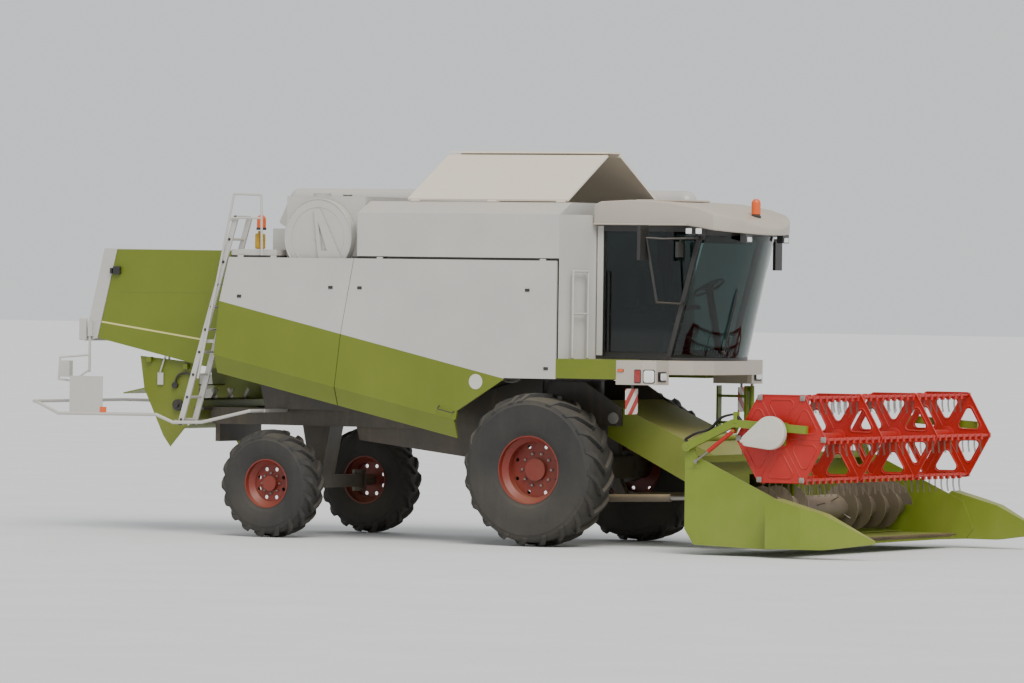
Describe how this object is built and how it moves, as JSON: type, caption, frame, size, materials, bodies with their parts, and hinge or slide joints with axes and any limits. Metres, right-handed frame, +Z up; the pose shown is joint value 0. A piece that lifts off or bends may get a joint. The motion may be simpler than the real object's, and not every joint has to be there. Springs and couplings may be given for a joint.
{
  "type": "combine harvester",
  "caption": "Self-propelled combine harvester with a reel header, hinged side panels, open grain tank hoods, glazed cab, swinging unloading auger and steered rear axle.",
  "frame": {"origin": "on the ground under the middle of the machine's box, header included", "axes": "+X forward to the header, +Y to the machine's left, +Z up"},
  "size_m": [12.1204, 5, 4.68],
  "materials": {
    "green_paint": "satin green paint on sheet steel",
    "arm_green_paint": "glossy green paint on tube and section steel",
    "panel_white": "light warm grey panel paint",
    "roof_white": "dusty off-white moulded plastic",
    "reel_red": "red paint on sheet steel",
    "rim_red": "red wheel paint",
    "chassis_black": "dark grey chassis paint, dusty",
    "tyre_rubber": "ribbed field tyre rubber",
    "bare_steel": "worn bright steel",
    "tinted_glass": "tinted cab glass",
    "cab_plastic": "dark grey moulded plastic and seat cloth",
    "lamp_lens": "clear and amber lenses"
  },
  "bodies": {
    "machine": {"main_frame": "chassis_black", "front_axle": "chassis_black", "engine_block": "chassis_black", "machine_body": "chassis_black", "straw_hood": "green_paint", "hood_rear": "panel_white", "grain_tank": "panel_white", "engine_deck": "panel_white", "cab_frame": "chassis_black", "cab_roof": "roof_white", "cab_glass": "tinted_glass", "seat": "cab_plastic", "steering_column": "cab_plastic", "front_bumper": "roof_white", "lamps": "lamp_lens", "walkway": "arm_green_paint", "rear_ladder": "panel_white", "mirrors": "chassis_black", "rear_axle": "chassis_black", "rear_guard": "panel_white", "chopper_housing": "green_paint", "tow_hitch": "chassis_black"},
    "door": {"cab_door": "chassis_black", "cab_door_glass": "tinted_glass"},
    "chopper": {"chopper_rotor": "bare_steel"},
    "panel_right_front": {"right_front_panel": "green_paint"},
    "panel_right_rear": {"right_rear_panel": "green_paint"},
    "panel_left_front": {"left_front_panel": "green_paint"},
    "panel_left_rear": {"left_rear_panel": "green_paint"},
    "hood_right": {"tank_hood_right": "roof_white"},
    "hood_left": {"tank_hood_left": "roof_white"},
    "unloader": {"unloading_auger": "panel_white"},
    "screen": {"rotary_screen": "panel_white"},
    "steps": {"access_ladder": "arm_green_paint"},
    "steer_right": {"knuckle_right": "chassis_black"},
    "steer_left": {"knuckle_left": "chassis_black"},
    "front_wheel_right": {"front_tyre_right": "tyre_rubber", "front_rim_right": "rim_red"},
    "front_wheel_left": {"front_tyre_left": "tyre_rubber", "front_rim_left": "rim_red"},
    "rear_wheel_right": {"rear_tyre_right": "tyre_rubber", "rear_rim_right": "rim_red"},
    "rear_wheel_left": {"rear_tyre_left": "tyre_rubber", "rear_rim_left": "rim_red"},
    "feeder": {"feeder_house": "green_paint", "header_table": "green_paint"},
    "auger": {"intake_auger": "bare_steel"},
    "knife": {"knife_bar": "bare_steel"},
    "arms": {"reel_arms": "arm_green_paint"},
    "carriage": {"reel_carriage": "arm_green_paint"},
    "reel_rotor": {"reel": "reel_red"},
    "reel_barrels": {"reel_lift_barrels": "reel_red"},
    "reel_rods": {"reel_lift_rods": "bare_steel"},
    "lift_barrel_pair": {"lift_barrels": "chassis_black"},
    "lift_rod_pair": {"lift_rods": "bare_steel"}
  },
  "joints": [
    {"name": "cab_door_hinge", "type": "hinge", "parent": "machine", "child": "door", "pos_m": [1.71, 0.869, 3], "axis": [0, 0, 1], "range_deg": [0, 75]},
    {"name": "chopper_spin", "type": "hinge", "parent": "machine", "child": "chopper", "pos_m": [-4.1, 0, 1.56], "axis": [0, 1, 0], "continuous": true},
    {"name": "right_front_panel_hinge", "type": "hinge", "parent": "machine", "child": "panel_right_front", "pos_m": [0.16, -1.438, 3.384], "axis": [-1, 0, 0], "range_deg": [0, 85]},
    {"name": "right_rear_panel_hinge", "type": "hinge", "parent": "machine", "child": "panel_right_rear", "pos_m": [-2.24, -1.438, 3.384], "axis": [-1, 0, 0], "range_deg": [0, 85]},
    {"name": "left_front_panel_hinge", "type": "hinge", "parent": "machine", "child": "panel_left_front", "pos_m": [0.16, 1.438, 3.384], "axis": [1, 0, 0], "range_deg": [0, 85]},
    {"name": "left_rear_panel_hinge", "type": "hinge", "parent": "machine", "child": "panel_left_rear", "pos_m": [-2.24, 1.438, 3.384], "axis": [1, 0, 0], "range_deg": [0, 85]},
    {"name": "tank_hood_hinge", "type": "hinge", "parent": "machine", "child": "hood_right", "pos_m": [0.36, -1.15, 4.072], "axis": [-1, 0, 0], "range_deg": [0, 28.6]},
    {"name": "tank_hood_left_hinge", "type": "hinge", "parent": "machine", "child": "hood_left", "pos_m": [0.36, 1.15, 4.072], "axis": [1, 0, 0], "range_deg": [0, 22.5]},
    {"name": "unloader_swing", "type": "hinge", "parent": "machine", "child": "unloader", "pos_m": [1.64, 1.45, 4.1], "axis": [0, 0, -1], "range_deg": [0, 95]},
    {"name": "screen_spin", "type": "hinge", "parent": "machine", "child": "screen", "pos_m": [-1.86, -1.3, 3.62], "axis": [0, 1, 0], "continuous": true},
    {"name": "steps_swing", "type": "hinge", "parent": "machine", "child": "steps", "pos_m": [2.6, 1.4, 1.7], "axis": [0, 0, 1], "range_deg": [0, 80]},
    {"name": "steering", "type": "hinge", "parent": "machine", "child": "steer_right", "pos_m": [-2.54, -0.86, 0.65], "axis": [0, 0, 1], "range_deg": [-40, 40]},
    {"name": "steering_left", "type": "hinge", "parent": "machine", "child": "steer_left", "pos_m": [-2.54, 0.86, 0.65], "axis": [0, 0, 1], "range_deg": [-40, 40]},
    {"name": "front_wheel_right_spin", "type": "hinge", "parent": "machine", "child": "front_wheel_right", "pos_m": [1.16, -1.29, 0.905], "axis": [0, 1, 0], "continuous": true},
    {"name": "rear_wheel_right_spin", "type": "hinge", "parent": "steer_right", "child": "rear_wheel_right", "pos_m": [-2.54, -1.19, 0.65], "axis": [0, 1, 0], "continuous": true},
    {"name": "front_wheel_left_spin", "type": "hinge", "parent": "machine", "child": "front_wheel_left", "pos_m": [1.16, 1.29, 0.905], "axis": [0, 1, 0], "continuous": true},
    {"name": "rear_wheel_left_spin", "type": "hinge", "parent": "steer_left", "child": "rear_wheel_left", "pos_m": [-2.54, 1.19, 0.65], "axis": [0, 1, 0], "continuous": true},
    {"name": "header_lift", "type": "hinge", "parent": "machine", "child": "feeder", "pos_m": [1.86, 0, 1.52], "axis": [0, -1, 0], "range_deg": [-1, 20]},
    {"name": "lift_barrel_pivot", "type": "hinge", "parent": "machine", "child": "lift_barrel_pair", "pos_m": [1.31, 0, 0.56], "axis": [0, -1, 0], "range_deg": [-0.8, 12.3]},
    {"name": "lift_rod_slide", "type": "slide", "parent": "lift_barrel_pair", "child": "lift_rod_pair", "axis": [0.9997, 0, 0.0258], "range_m": [-0.018, 0.309]},
    {"name": "intake_auger_spin", "type": "hinge", "parent": "feeder", "child": "auger", "pos_m": [4.12, 0, 0.505], "axis": [0, 1, 0], "continuous": true},
    {"name": "knife_stroke", "type": "slide", "parent": "feeder", "child": "knife", "axis": [0, 1, 0], "range_m": [-0.038, 0.038]},
    {"name": "reel_lift", "type": "hinge", "parent": "feeder", "child": "arms", "pos_m": [3.65, 0, 1.25], "axis": [0, -1, 0], "range_deg": [-4, 20]},
    {"name": "reel_shift", "type": "slide", "parent": "arms", "child": "carriage", "axis": [0.998, 0, -0.0637], "range_m": [0, 0.24]},
    {"name": "reel_spin", "type": "hinge", "parent": "carriage", "child": "reel_rotor", "pos_m": [4.81, 0, 1.36], "axis": [0, 1, 0], "continuous": true},
    {"name": "reel_barrel_pivot", "type": "hinge", "parent": "arms", "child": "reel_barrels", "pos_m": [4.24, 0, 1.44], "axis": [0, -1, 0], "range_deg": [-1.7, 0.5]},
    {"name": "reel_rod_slide", "type": "slide", "parent": "reel_barrels", "child": "reel_rods", "axis": [-0.8, 0, -0.6], "range_m": [-0.017, 0.071]}
  ],
  "couplings": [
    {"joint": "lift_barrel_pivot", "follows": "header_lift", "ratio": 0.60756},
    {"joint": "lift_rod_slide", "follows": "header_lift", "m_per_rad": 0.87696},
    {"joint": "tank_hood_left_hinge", "follows": "tank_hood_hinge", "ratio": 0.784},
    {"joint": "steering_left", "follows": "steering", "ratio": 1},
    {"joint": "reel_barrel_pivot", "follows": "reel_lift", "ratio": -0.07274},
    {"joint": "reel_rod_slide", "follows": "reel_lift", "m_per_rad": 0.19612}
  ]
}
